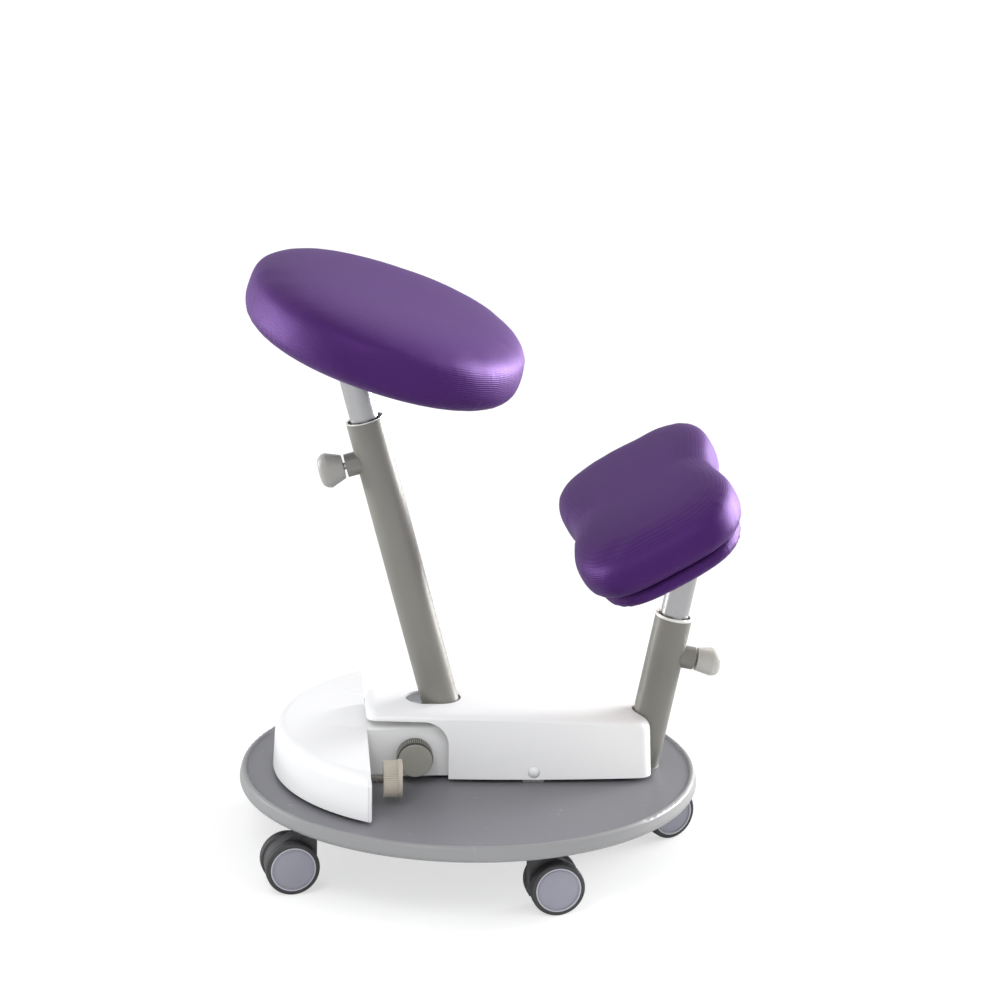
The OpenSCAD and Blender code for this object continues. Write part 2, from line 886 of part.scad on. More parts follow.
module seat_rocker() {
    color(c_steel)
        in_frame()
            difference() {
                union() {
                    at_pivot()
                        cylinder(d = 2 * pivot_d, h = 2 * rocker_half, center = true, $fn = fine);
                    seat_axis()
                        translate([0, 0, cup_low])
                            cylinder(r = rocker_half, h = cup_l, $fn = fine);
                    for (s = [-1, 1])
                        translate([0, s * cheek_y + cheek_t * half, 0])
                            rotate([90, 0, 0])
                                linear_extrude(cheek_t)
                                    polygon([
                                        [-pivot_back, pivot_z + pivot_d],
                                        [-seat_foot - tube_d * half, pivot_z + pivot_d],
                                        [-seat_foot, rocker_low],
                                        [-pivot_back + rocker_half, rocker_low],
                                        [-pivot_back, pivot_z - pivot_d]
                                    ]);
                    translate([-pivot_back - tail_l, -tail_w * half, pivot_z - tail_t * half])
                        cube([tail_l, tail_w, tail_t]);
                }
                at_pivot()
                    cylinder(d = pivot_d + 2 * fit, h = 4 * rocker_half, center = true, $fn = fine);
                seat_axis()
                    translate([0, 0, column_low])
                        cylinder(d = tube_d + 2 * fit, h = crown_z, $fn = fine);
                translate([-pivot_back, -tube_d, 0])
                    cube([pivot_back + tube_d, 2 * tube_d, rocker_low]);
            }
}

module seat_column() {
    color(c_tube)
        in_frame()
            seat_axis()
                column(column_low, seat_tube_l, -1);
}

module seat_bush() {
    color(c_plastic)
        in_frame()
            seat_axis()
                bush(seat_tube_l);
}

module knee_column() {
    color(c_tube)
        in_frame()
            difference() {
                knee_axis()
                    column(-tube_d, knee_tube_l, 1);
                translate([0, -disc_r, 0])
                    cube([2 * disc_r, 2 * disc_r, board_top]);
            }
}

module knee_bush() {
    color(c_plastic)
        in_frame()
            knee_axis()
                bush(knee_tube_l);
}

module pivot_bolt() {
    color(c_steel)
        in_frame()
            at_pivot() {
                translate([0, 0, -ear_out])
                    cylinder(d = pivot_d, h = ear_out + knob_face + bolt_in, $fn = fine);
                translate([0, 0, -ear_out - bolt_head_t])
                    cylinder(d = bolt_head_d, h = bolt_head_t, $fn = 6);
            }
}

module clamp_sleeve() {
    color(c_steel)
        in_frame()
            at_pivot()
                translate([0, 0, ear_out])
                    difference() {
                        cylinder(d = sleeve_d, h = knob_face - clear - ear_out, $fn = fine);
                        translate([0, 0, -over])
                            cylinder(d = pivot_d + 2 * fit, h = knob_face, $fn = fine);
                    }
}

module tension_bracket() {
    color(c_steel)
        in_frame()
            difference() {
                union() {
                    translate([-nut_back - nut_run, -tension_y - nut_w * half, board_top])
                        cube([nut_back + nut_run - bracket_end, nut_w, plate_t]);
                    translate([-nut_stop, -tension_y - nut_w * half, board_top])
                        cube([plate_t, nut_w, tension_z + nut_w * half - board_top]);
                }
                at_tension()
                    translate([0, 0, -disc_r])
                        cylinder(d = tension_d + 2 * fit, h = disc_r, $fn = fine);
                at_base_screws()
                    translate([0, 0, -screw_l])
                        cylinder(d = fastener_d, h = screw_l + over, $fn = round_n);
            }
}

module tilt_stops() {
    color(c_rubber)
        in_frame() {
            translate([-pivot_back + rocker_half, -tail_w * half, board_top])
                cube([tail_w, tail_w, rocker_low - board_top - clear]);
            translate([-pivot_back - tail_l + tail_in, -tail_w * half, board_top])
                cube([tail_w * half, tail_w, stop_h]);
        }
}

module caster_sockets() {
    color(c_steel)
        in_frame()
            for (k = [0 : 4])
                at_caster(k)
                    difference() {
                        union() {
                            translate([0, 0, board_z])
                                cylinder(d = socket_d, h = socket_top - board_z, $fn = round_n);
                            translate([0, 0, board_z - flange_t])
                                cylinder(d = flange_d, h = flange_t, $fn = round_n);
                        }
                        translate([0, 0, board_z - flange_t - over])
                            cylinder(d = stem_d, h = socket_top - board_z + flange_t, $fn = round_n);
                    }
}

module caster_stems() {
    color(c_steel)
        in_frame()
            for (k = [0 : 4])
                at_caster(k) {
                    translate([0, 0, stem_low])
                        cylinder(d = stem_d, h = socket_top - over - stem_low, $fn = round_n);
                    translate([0, 0, board_z - flange_t - collar_t])
                        cylinder(d = collar_d, h = collar_t, $fn = round_n);
                }
}

module seat_post() {
    color(c_steel)
        in_frame()
            difference() {
                seat_axis()
                    post(seat_tube_l - seat_inside, seat_tube_l + seat_show + post_d, -1);
                seat_plane()
                    above(-bracket_t);
            }
}

module seat_glide() {
    color(c_plastic)
        in_frame()
            seat_axis()
                glide(seat_tube_l - seat_inside);
}

module seat_bracket() {
    color(c_dark)
        in_frame()
            difference() {
                union() {
                    seat_plane()
                        bracket_plate();
                    seat_axis()
                        translate([0, 0, seat_tube_l + seat_show - sleeve_l])
                            cylinder(d = post_d + 2 * sleeve_t, h = 2 * sleeve_l, $fn = fine);
                }
                seat_plane()
                    above(0);
                difference() {
                    seat_axis()
                        translate([0, 0, seat_tube_l])
                            cylinder(d = post_d, h = seat_show + 2 * sleeve_l, $fn = fine);
                    seat_plane()
                        above(-bracket_t);
                }
                seat_plane()
                    at_bracket_screws()
                        cylinder(d = fastener_d, h = 2 * head_d, center = true, $fn = round_n);
            }
}

module seat_pan() {
    color(c_wood)
        in_frame()
            seat_plane()
                difference() {
                    translate([seat_offset, 0, 0])
                        linear_extrude(seat_pan_t)
                            polygon(seat_outline(pan_share));
                    at_bracket_screws()
                        cylinder(d = fastener_d, h = pan_screw_l + over, $fn = round_n);
                }
}

module seat_cushion() {
    color(c_cover)
        in_frame()
            seat_plane()
                translate([seat_offset, 0, 0])
                    loft(concat(
                        [for (z = [seat_pan_t, 0]) lift(seat_outline(pan_share), z)],
                        [for (t = soft_steps)
                            lift(seat_outline(soft_r(t)), seat_under + seat_h * half * soft_z(t))]));
}

module seat_screws() {
    color(c_steel)
        in_frame()
            seat_plane()
                at_bracket_screws()
                    screw(pan_screw_l);
}

module knee_post() {
    color(c_steel)
        in_frame()
            difference() {
                knee_axis()
                    post(knee_tube_l - knee_inside, knee_tube_l + knee_show + post_d, 1);
                knee_plane()
                    above(-bracket_t);
            }
}

module knee_glide() {
    color(c_plastic)
        in_frame()
            knee_axis()
                glide(knee_tube_l - knee_inside);
}

module knee_bracket() {
    color(c_dark)
        in_frame()
            difference() {
                union() {
                    knee_plane()
                        bracket_plate();
                    knee_axis()
                        translate([0, 0, knee_tube_l + knee_show - sleeve_l])
                            cylinder(d = post_d + 2 * sleeve_t, h = 2 * sleeve_l, $fn = fine);
                }
                knee_plane()
                    above(0);
                difference() {
                    knee_axis()
                        translate([0, 0, knee_tube_l])
                            cylinder(d = post_d, h = knee_show + 2 * sleeve_l, $fn = fine);
                    knee_plane()
                        above(-bracket_t);
                }
                knee_plane()
                    at_bracket_screws()
                        cylinder(d = fastener_d, h = 2 * head_d, center = true, $fn = round_n);
            }
}

module knee_pan() {
    color(c_wood)
        in_frame()
            knee_plane()
                difference() {
                    translate([-knee_offset, 0, 0])
                        linear_extrude(knee_pan_t)
                            polygon(knee_outline(pan_knee_share));
                    at_bracket_screws()
                        cylinder(d = fastener_d, h = pan_screw_l + over, $fn = round_n);
                }
}

module knee_band() {
    color(c_cover)
        in_frame()
            knee_plane()
                translate([-knee_offset, 0, 0])
                    loft(concat(
                        [for (z = [knee_pan_t, 0]) lift(knee_outline(pan_knee_share), z)],
                        [for (t = band_steps) lift(knee_outline(band_share * soft_r(t)),
                            band_under - band_c + band_h * half * soft_z(t))]));
}

module knee_cushion() {
    color(c_cover)
        in_frame()
            knee_plane()
                translate([-knee_offset, 0, band_under])
                    loft([for (t = soft_steps)
                        lift(knee_outline(soft_r(t)), knee_h * half * soft_z(t))]);
}

module knee_screws() {
    color(c_steel)
        in_frame()
            knee_plane()
                at_bracket_screws()
                    screw(pan_screw_l);
}

// Wing knob on its own axis, mouth at zero
module wing_knob() {
    difference() {
        loft(concat(
            [for (i = [0 : wing_n]) let (t = i / wing_n)
                lift([for (j = [0 : knob_n - 1]) lobe(
                    mouth_d * half + (wing_a - mouth_d) * half * t,
                    mouth_d * half + (wing_b - mouth_d) * half * t,
                    2 + t * half, 360 * j / knob_n)], wing_l * wing_share * t)],
            [for (t = dome_steps)
                lift([for (j = [0 : knob_n - 1]) lobe(wing_a * half * soft_r(t), wing_b * half * soft_r(t),
                    wing_round, 360 * j / knob_n)], wing_l * (wing_share + (1 - wing_share) * sin(t)))]));
        translate([0, 0, -over])
            cylinder(d = stud_d, h = stud_in + over, $fn = round_n);
    }
}

// Clamp stud on its own axis, measured from the post axis
module stud() {
    translate([0, 0, post_d * half - groove_t + clear])
        cylinder(d = stud_d, h = boss_reach + wing_gap + stud_in - post_d * half + groove_t - clear, $fn = round_n);
}

module seat_knob() {
    color(c_knob)
        in_frame()
            seat_axis()
                translate([-boss_reach - wing_gap, 0, seat_tube_l - boss_drop])
                    rotate([0, -90, 0])
                        wing_knob();
}

module seat_stud() {
    color(c_steel)
        in_frame()
            seat_axis()
                translate([0, 0, seat_tube_l - boss_drop])
                    rotate([0, -90, 0])
                        stud();
}

module knee_knob() {
    color(c_knob)
        in_frame()
            knee_axis()
                translate([boss_reach + wing_gap, 0, knee_tube_l - boss_drop])
                    rotate([0, 90, 0])
                        rotate([0, 0, 90])
                            wing_knob();
}

module knee_stud() {
    color(c_steel)
        in_frame()
            knee_axis()
                translate([0, 0, knee_tube_l - boss_drop])
                    rotate([0, 90, 0])
                        stud();
}

// Knurled knob on its own axis, inner face at zero
module round_knob(cap, bore, depth) {
    difference() {
        union() {
            linear_extrude(knurl_w)
                polygon([for (i = [0 : 2 * knurl_n - 1]) (knurl_d * half - (i % 2) * knurl_depth)
                    * [cos(180 * i / knurl_n), sin(180 * i / knurl_n)]]);
            translate([0, 0, knurl_w])
                rotate_extrude($fn = fine) {
                    square([cap * half, disc_cap_t - cap_round]);
                    square([cap * half - cap_round, disc_cap_t]);
                    translate([cap * half - cap_round, disc_cap_t - cap_round])
                        circle(r = cap_round, $fn = round_n);
                }
        }
        translate([0, 0, -over])
            cylinder(d = bore, h = depth + over, $fn = fine);
    }
}

module side_knob() {
    color(c_side)
        in_frame()
            at_pivot()
                translate([0, 0, knob_face])
                    round_knob(side_cap_d, pivot_d + 2 * fit, bolt_in + over);
}

module tension_knob() {
    color(c_beige)
        in_frame()
            at_tension()
                translate([0, 0, -shell_face + tension_show])
                    round_knob(tension_cap_d, tension_d, bolt_in);
}

module tension_screw() {
    color(c_steel)
        in_frame()
            at_tension()
                translate([0, 0, -nut_back - nut_run])
                    cylinder(d = tension_d, h = nut_back + nut_run - shell_face + tension_show + bolt_in, $fn = fine);
}

module tension_nut() {
    color(c_steel)
        in_frame()
            difference() {
                translate([-nut_back, -tension_y - nut_w * half, board_top + plate_t + key_fit])
                    cube([nut_t, nut_w, tension_z + nut_w * half - board_top - plate_t]);
                at_tension()
                    translate([0, 0, -disc_r])
                        cylinder(d = tension_d + 2 * fit, h = disc_r, $fn = fine);
            }
}

module hood(k) {
    color(c_dark)
        in_frame()
            difference() {
                union() {
                    at_axle(k)
                        translate([0, 0, -web_w * half])
                            linear_extrude(web_w) {
                                circle(r = axle_z * drum_share, $fn = fine);
                                polygon([
                                    [-trail - hood_r, -axle_z * hood_low_share],
                                    [-trail - hood_r, hood_top - axle_z],
                                    [-trail + hood_r, hood_top - axle_z],
                                    [axle_z * drum_share * half, axle_z * drum_share * drum_join],
                                    [0, 0]
                                ]);
                            }
                    at_caster(k)
                        translate([0, 0, wheel_d + wheel_gap])
                            cylinder(r = hood_r, h = hood_top - wheel_d - wheel_gap, $fn = round_n);
                }
                at_axle(k)
                    cylinder(d = axle_d + 2 * fit, h = 2 * web_w, center = true, $fn = round_n);
                at_caster(k)
                    translate([0, 0, stem_low - over])
                        cylinder(d = stem_d + 2 * fit, h = board_z, $fn = round_n);
                at_caster(k)
                    translate([-wheel_d, -wheel_d, 0])
                        cube([4 * wheel_d, 2 * wheel_d, axle_z * hood_low_share]);
            }
}

module axle(k) {
    color(c_steel)
        in_frame()
            at_axle(k)
                cylinder(d = axle_d, h = 2 * (wheel_out - cap_t), center = true, $fn = round_n);
}

// One wheel on its own axis, inner face at zero
module wheel() {
    difference() {
        rotate_extrude($fn = fine) {
            translate([axle_d * half, 0])
                square([axle_z - tyre_round - axle_d * half, wheel_w]);
            translate([axle_d * half, tyre_round])
                square([axle_z - axle_d * half, wheel_w - 2 * tyre_round]);
            for (z = [tyre_round, wheel_w - tyre_round])
                translate([axle_z - tyre_round, z])
                    circle(r = tyre_round, $fn = round_n);
        }
        translate([0, 0, wheel_w - cap_t])
            cylinder(d = cap_d, h = cap_t + over, $fn = fine);
    }
}

module wheels(k) {
    color(c_dark)
        in_frame()
            at_axle(k)
                for (s = [0, 1])
                    mirror([0, 0, s])
                        translate([0, 0, wheel_in])
                            wheel();
}

module caps(k) {
    color(c_cap)
        in_frame()
            at_axle(k)
                for (s = [0, 1])
                    mirror([0, 0, s])
                        translate([0, 0, wheel_out - cap_t])
                            rotate_extrude($fn = fine) {
                                square([cap_d * half, cap_t]);
                                translate([cap_d * half - cap_t, 0])
                                    square([cap_proud, cap_t + cap_proud]);
                            }
}

// Drawing of the chosen node
base_disc();
base_plate();
base_screws();
under_screws();
rear_cover();
main_cover();
cover_screws();
knee_column();
knee_bush();
pivot_bolt();
clamp_sleeve();
tension_bracket();
tilt_stops();
caster_sockets();
caster_stems();
seat_rocker();
seat_column();
seat_bush();
seat_post();
seat_glide();
seat_bracket();
seat_pan();
seat_cushion();
seat_screws();
seat_knob();
seat_stud();
knee_post();
knee_glide();
knee_bracket();
knee_pan();
knee_band();
knee_cushion();
knee_screws();
knee_knob();
knee_stud();
side_knob();
tension_knob();
tension_screw();
tension_nut();
hood(0);  // hood_a
axle(0);  // axle_a
wheels(0);  // wheels_a
caps(0);  // caps_a
hood(1);  // hood_b
axle(1);  // axle_b
wheels(1);  // wheels_b
caps(1);  // caps_b
hood(2);  // hood_c
axle(2);  // axle_c
wheels(2);  // wheels_c
caps(2);  // caps_c
hood(3);  // hood_d
axle(3);  // axle_d
wheels(3);  // wheels_d
caps(3);  // caps_d
hood(4);  // hood_e
axle(4);  // axle_e
wheels(4);  // wheels_e
caps(4);  // caps_e
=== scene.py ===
"""Rolling kneeling stool: castered disc, white covers, two leaning columns, violet pads."""
import math

import bmesh
import bpy
from mathutils import Matrix, Vector, noise


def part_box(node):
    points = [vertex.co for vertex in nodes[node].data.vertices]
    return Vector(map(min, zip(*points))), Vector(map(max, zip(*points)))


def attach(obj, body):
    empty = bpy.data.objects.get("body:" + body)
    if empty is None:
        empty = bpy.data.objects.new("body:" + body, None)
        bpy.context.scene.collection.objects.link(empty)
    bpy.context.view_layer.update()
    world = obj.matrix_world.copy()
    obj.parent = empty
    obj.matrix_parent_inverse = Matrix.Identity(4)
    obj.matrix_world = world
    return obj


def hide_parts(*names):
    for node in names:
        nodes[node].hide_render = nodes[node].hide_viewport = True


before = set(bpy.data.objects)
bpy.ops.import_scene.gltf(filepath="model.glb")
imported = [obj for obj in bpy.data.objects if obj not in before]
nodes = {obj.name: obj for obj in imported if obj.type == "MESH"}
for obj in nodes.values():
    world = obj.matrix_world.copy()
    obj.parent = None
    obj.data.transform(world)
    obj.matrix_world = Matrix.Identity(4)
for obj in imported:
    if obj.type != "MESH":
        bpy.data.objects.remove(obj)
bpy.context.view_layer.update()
scene = bpy.context.scene


# The view: a long lens 3.6 m in front of the stool and 1.45 m up, a little to its left.
# Places on the stool are counted from disc_x, the middle of the round board.
disc_x = sum(c[0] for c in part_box("base_disc")) / 2
camera_data = bpy.data.cameras.new("camera")
camera_data.sensor_width = 36
camera_data.lens = 122.8
camera_data.clip_end = 60
camera_data.shift_x = -0.00505
camera_data.shift_y = 0.00065
camera = bpy.data.objects.new("camera", camera_data)
scene.collection.objects.link(camera)
bpy.context.scene.camera = camera
forward = Vector((0.0731612, 0.9585527, -0.2753618)).normalized()
right = Vector((0.99709994, -0.0761033, 0.0)).normalized()
up = right.cross(forward)
roll = math.radians(1.1)
right, up = (math.cos(roll) * right + math.sin(roll) * up,
             math.cos(roll) * up - math.sin(roll) * right)
stand = Matrix((right, up, -forward)).transposed().to_4x4()
stand.translation = (disc_x - 0.24226, -3.64736, 1.45143)
camera.matrix_world = stand
scene.view_settings.view_transform = "Standard"


# The studio floor: white, 44 m across, so that it runs out behind the stool, and it keeps the
# shadow. What the camera sees of it glows a little, and so fades into the sky without a line.
class Val:
    """A shader socket that takes part in sums, products and powers."""

    def __init__(self, tree, socket):
        self.tree = tree
        self.socket = socket

    def math(self, operation, *others, turned=False):
        """Math node on this value and another one, which comes first where they are turned."""
        node = self.tree.nodes.new("ShaderNodeMath")
        node.operation = operation
        terms = (self, *others)
        for place, term in zip(node.inputs, terms[::-1] if turned else terms):
            if isinstance(term, Val):
                self.tree.links.new(term.socket, place)
            else:
                place.default_value = term
        return Val(self.tree, node.outputs[0])

    def split(self):
        """The three parts of a vector."""
        node = self.tree.nodes.new("ShaderNodeSeparateXYZ")
        self.tree.links.new(self.socket, node.inputs[0])
        return [Val(self.tree, out) for out in node.outputs]

    def __add__(self, other):
        return self.math("ADD", other)

    def __radd__(self, other):
        return self.math("ADD", other, turned=True)

    def __sub__(self, other):
        return self.math("SUBTRACT", other)

    def __rsub__(self, other):
        return self.math("SUBTRACT", other, turned=True)

    def __mul__(self, other):
        return self.math("MULTIPLY", other)

    def __rmul__(self, other):
        return self.math("MULTIPLY", other, turned=True)

    def __pow__(self, other):
        return self.math("POWER", other)

    def __rpow__(self, other):
        return self.math("POWER", other, turned=True)


class Finish:
    """A surface finish: one Principled shader, its fixed values, and the nodes that vary it."""

    def __init__(self, name, **fixed):
        self.material = bpy.data.materials.new(name)
        self.material.use_nodes = True
        self.tree = self.material.node_tree
        self.shader = self.tree.nodes["Principled BSDF"]
        for socket, value in fixed.items():
            self.shader.inputs[socket.replace("_", " ")].default_value = value

    def node(self, kind, settings=None, values=None, out=0):
        node = self.tree.nodes.new(kind)
        for key, value in (settings or {}).items():
            setattr(node, key, value)
        for key, value in (values or {}).items():
            if isinstance(value, Val):
                self.tree.links.new(value.socket, node.inputs[key])
            else:
                node.inputs[key].default_value = value
        return Val(self.tree, node.outputs[out])

    def feed(self, socket, value):
        self.tree.links.new(value.socket, self.shader.inputs[socket])

    def place(self):
        return self.node("ShaderNodeTexCoord", out="Object")

    def place_from(self, middle, turn=(0, 0, 0)):
        """Place on the piece, counted from its own middle and along its own lines."""
        return self.node("ShaderNodeMapping", {"vector_type": "TEXTURE"},
                         {"Vector": self.place(), "Location": middle, "Rotation": turn})

    def speckle(self, place, scale, detail, distortion=0.0):
        return self.node("ShaderNodeTexNoise", None, {"Vector": place, "Scale": scale,
                                                      "Detail": detail, "Distortion": distortion})

    def rise(self, value, low, high, curve="LINEAR"):
        """From 0 where the value is low to 1 where it is high."""
        return self.node("ShaderNodeMapRange", {"interpolation_type": curve},
                         {"Value": value, 1: low, 2: high})

    def mix(self, factor, low, high):
        return self.node("ShaderNodeMix", {"data_type": "RGBA"}, {0: factor, 6: low, 7: high}, out=2)

    def bump(self, height, strength, distance):
        self.feed("Normal", self.node("ShaderNodeBump", None, {
            "Strength": strength, "Distance": distance, "Height": height}))

    def paint(self, *things):
        """Puts the finish on pieces, and on solids of the frame by name."""
        for thing in things:
            slots = (nodes[thing] if isinstance(thing, str) else thing).data.materials
            slots.clear()
            slots.append(self.material)


floor_data = bpy.data.meshes.new("floor")
floor_form = bmesh.new()
bmesh.ops.create_circle(floor_form, cap_ends=True, segments=96, radius=22)
floor_form.to_mesh(floor_data)
floor_form.free()
floor = bpy.data.objects.new("floor", floor_data)
scene.collection.objects.link(floor)
glow_share, glow_strength = 0.45, 1.3
studio_floor = Finish("studio_floor", Base_Color=(0.9, 0.9, 0.9, 1), Roughness=0.9,
                      Specular_IOR_Level=0)
seen = studio_floor.node("ShaderNodeLightPath", out="Is Camera Ray")
glow = studio_floor.node("ShaderNodeEmission", None,
                         {"Color": (1, 1, 1, 1), "Strength": glow_strength})
shaded = Val(studio_floor.tree, studio_floor.shader.outputs[0])
blend = studio_floor.node("ShaderNodeMixShader", None, {0: seen * glow_share, 1: shaded, 2: glow})
surface = studio_floor.tree.nodes["Material Output"].inputs["Surface"]
studio_floor.tree.links.new(blend.socket, surface)
studio_floor.paint(floor)


# The sky: a pale studio wall, brightest on the right, and a little brighter on the left and in front
# of the stool than overhead and behind. The camera alone sees it whiter still, as the background.
sky_level, sky_right, sky_left, sky_front, sky_seen = 0.78, 0.3, 0.12, 0.16, 0.3
world = bpy.data.worlds.new("studio")
scene.world = world
world.use_nodes = True
sky = world.node_tree
to_right, to_back, _ = Val(sky, sky.nodes.new("ShaderNodeTexCoord").outputs["Generated"]).split()
level = sky_level + sky_right * to_right.math("MAXIMUM", 0.0)
level = level + sky_left * (0.0 - to_right).math("MAXIMUM", 0.0)
level = level + sky_front * (0.0 - to_back).math("MAXIMUM", 0.0)
level = level + sky_seen * Val(sky, sky.nodes.new("ShaderNodeLightPath").outputs["Is Camera Ray"])
sky.nodes["Background"].inputs["Color"].default_value = (0.98, 0.99, 1, 1)
sky.links.new(level.socket, sky.nodes["Background"].inputs["Strength"])


# The lamps: the key box stands high in front on the left. The other two have grids, stand left and
# right of the stool at the height of its seat, and draw the highlights on the violet satin.
def soft_box(name, at, aim, size, watts, spread):
    lamp = bpy.data.lights.new(name, "AREA")
    lamp.shape = "RECTANGLE"
    lamp.size, lamp.size_y = size
    lamp.energy = watts
    lamp.spread = math.radians(spread)
    thing = bpy.data.objects.new(name, lamp)
    scene.collection.objects.link(thing)
    thing.location = at
    thing.rotation_euler = (Vector(aim) - Vector(at)).to_track_quat("-Z", "Y").to_euler()


soft_box("key", at=(-0.9, -1.9, 2.7), aim=(0, 0, 0.3), size=(0.9, 1.4), watts=26, spread=180)
soft_box("side", at=(-1.35, 0.42, 0.66), aim=(-0.15, -0.1, 0.66), size=(0.6, 0.8),
         watts=2.2, spread=45)
soft_box("edge", at=(1.3, 0.72, 0.85), aim=(0.1, -0.1, 0.68), size=(0.9, 1.2), watts=11, spread=50)


# The base disc: a round board, painted satin grey, with a rounded rim in a lighter grey than the
# board. A zinc-plated steel plate is let into it, and screws hold the plate and the covers.
lip_start, lip_end = 0.2515, 0.2550


def radius(x, y):
    """Distance from an axis, as shader maths."""
    return (x * x + y * y) ** 0.5


disc_grey = Finish("disc_grey")
spot = disc_grey.place()
speck = disc_grey.speckle(spot, scale=900, detail=3)
cloud = disc_grey.speckle(spot, scale=9, detail=3)
scuff = disc_grey.rise(disc_grey.speckle(spot, scale=42, detail=5, distortion=1.6), 0.66, 0.78)
from_middle = disc_grey.node("ShaderNodeVectorMath", {"operation": "SUBTRACT"},
                             {0: spot, 1: (disc_x, 0, 0)})
across, deep, _ = from_middle.split()
lip = disc_grey.rise(radius(across, deep), lip_start, lip_end, "SMOOTHSTEP")
board = disc_grey.mix(0.55 * cloud + 0.45 * speck,
                      (0.150, 0.150, 0.168, 1), (0.198, 0.198, 0.215, 1))
rim = disc_grey.mix(lip, board, (0.27, 0.27, 0.273, 1))
disc_grey.feed("Base Color", disc_grey.mix(scuff * 0.35, rim, (0.40, 0.40, 0.42, 1)))
disc_grey.feed("Roughness", 0.33 + 0.14 * cloud + 0.1 * scuff)
disc_grey.bump(speck, 0.25, 0.0004)
disc_grey.paint("base_disc")

zinc = Finish("zinc", Metallic=0.9)
streak = zinc.speckle(zinc.place(), scale=260, detail=4)
zinc.feed("Base Color", zinc.mix(streak, (0.42, 0.42, 0.43, 1), (0.58, 0.58, 0.58, 1)))
zinc.feed("Roughness", 0.3 + 0.2 * streak)
zinc.bump(streak, 0.1, 0.0003)
zinc.paint("base_plate", "base_screws", "under_screws")


# The rear cover: a white injection-moulded shell that follows the rim of the disc, cut off flat in
# front. A narrow neck runs forward from it and carries the tilt knob. Screws from below hold it.
MM = 0.001
shell_r, shell_face, neck_front = 222, 117.5, 15
neck_half, neck_draft, neck_shoulder = 44, 2, 8
cover_low, wall = 94.5, 3
tilt_x, tilt_z = disc_x - 0.064, 0.1205
tension_y, tension_z = -0.115, 0.118
ACROSS = (math.pi / 2, 0, 0)
ALONG = (0, math.pi / 2, 0)


def take(piece):
    """Selects this piece alone, out of edit mode."""
    if bpy.context.mode != "OBJECT":
        bpy.ops.object.mode_set(mode="OBJECT")
    bpy.ops.object.select_all(action="DESELECT")
    piece.select_set(True)
    bpy.context.view_layer.objects.active = piece


def named(name):
    """Names the primitive just added, and puts its place into its mesh."""
    piece = bpy.context.object
    piece.name = piece.data.name = name
    bpy.ops.object.transform_apply(location=True, rotation=True, scale=True)
    return piece


def block(name, at, size):
    bpy.ops.mesh.primitive_cube_add(size=1, location=at, scale=size)
    return named(name)


def pin(name, at, turn, radius, depth, vertices):
    bpy.ops.mesh.primitive_cylinder_add(vertices=vertices, radius=radius, depth=depth,
                                        location=at, rotation=turn)
    return named(name)


def pick(piece, kind, test):
    """Opens a piece and picks its faces, edges or vertices by middle and normal."""
    take(piece)
    bpy.ops.object.mode_set(mode="EDIT")
    bpy.ops.mesh.select_mode(type=kind)
    bpy.ops.mesh.select_all(action="DESELECT")
    form = bmesh.from_edit_mesh(piece.data)
    for part in {"VERT": form.verts, "EDGE": form.edges, "FACE": form.faces}[kind]:
        corners = [part] if kind == "VERT" else part.verts
        middle = sum((v.co for v in corners), Vector()) / len(corners)
        normal = part.normal if kind != "EDGE" else Vector()
        if test(middle, normal):
            part.select_set(True)
    bmesh.update_edit_mesh(piece.data)


def work(piece, kind, **settings):
    """Adds one modifier to a piece and applies it."""
    take(piece)
    step = piece.modifiers.new(kind.lower(), kind)
    for key, value in settings.items():
        setattr(step, key, value)
    bpy.ops.object.modifier_apply(modifier=step.name)


def cut(piece, tool, how="DIFFERENCE"):
    work(piece, "BOOLEAN", object=tool, operation=how, solver="EXACT")
    bpy.data.objects.remove(tool)


def new_piece(name, data):
    piece = bpy.data.objects.new(name, data)
    scene.collection.objects.link(piece)
    return piece


def skin(name, rings):
    """Closed shell through a row of closed rings, in millimetres from the middle of the disc."""
    form = bmesh.new()
    rows = [[form.verts.new((disc_x + x * MM, y * MM, z * MM)) for x, y, z in ring] for ring in rings]
    for low, high in zip(rows, rows[1:]):
        for i, corner in enumerate(low):
            k = (i + 1) % len(low)
            form.faces.new((corner, low[k], high[k], high[i]))
    form.faces.new(rows[0])
    form.faces.new(rows[-1])
    bmesh.ops.recalc_face_normals(form, faces=form.faces)
    data = bpy.data.meshes.new(name)
    form.to_mesh(data)
    form.free()
    return new_piece(name, data)


def bend(start, aim, end, steps):
    """Points of a curve that leaves its start towards aim, and reaches its end from there."""
    shares = [i / steps for i in range(steps + 1)]
    return [(1 - t) ** 2 * start + 2 * t * (1 - t) * aim + t * t * end for t in shares]


def arch(x, low_half, high_half, shoulder, top):
    """Section of a cover at x: straight drafted sides, and a roof bent over from them."""
    lean = (low_half - high_half) / (shoulder - cover_low)
    aim = Vector((high_half - lean * (top - shoulder), top))
    roof = bend(Vector((high_half, shoulder)), aim, Vector((0, top)), 16)
    half = [Vector((low_half, cover_low))] + roof
    return [(x, p.x, p.y) for p in half] + [(x, -p.x, p.y) for p in half[-2::-1]]


def shell(piece, open_face):
    """Softens the edges, opens the hidden faces and gives the wall its thickness."""
    work(piece, "BEVEL", width=0.0022, segments=3, limit_method="ANGLE",
         angle_limit=math.radians(38), miter_outer="MITER_ARC")
    pick(piece, "FACE", open_face)
    bpy.ops.mesh.delete(type="FACE")
    bpy.ops.object.mode_set(mode="OBJECT")
    work(piece, "SOLIDIFY", thickness=wall * MM, offset=-1, use_even_offset=True)


def smooth(piece):
    take(piece)
    bpy.ops.object.shade_smooth_by_angle(angle=math.radians(32))
    work(piece, "WEIGHTED_NORMAL", keep_sharp=True)


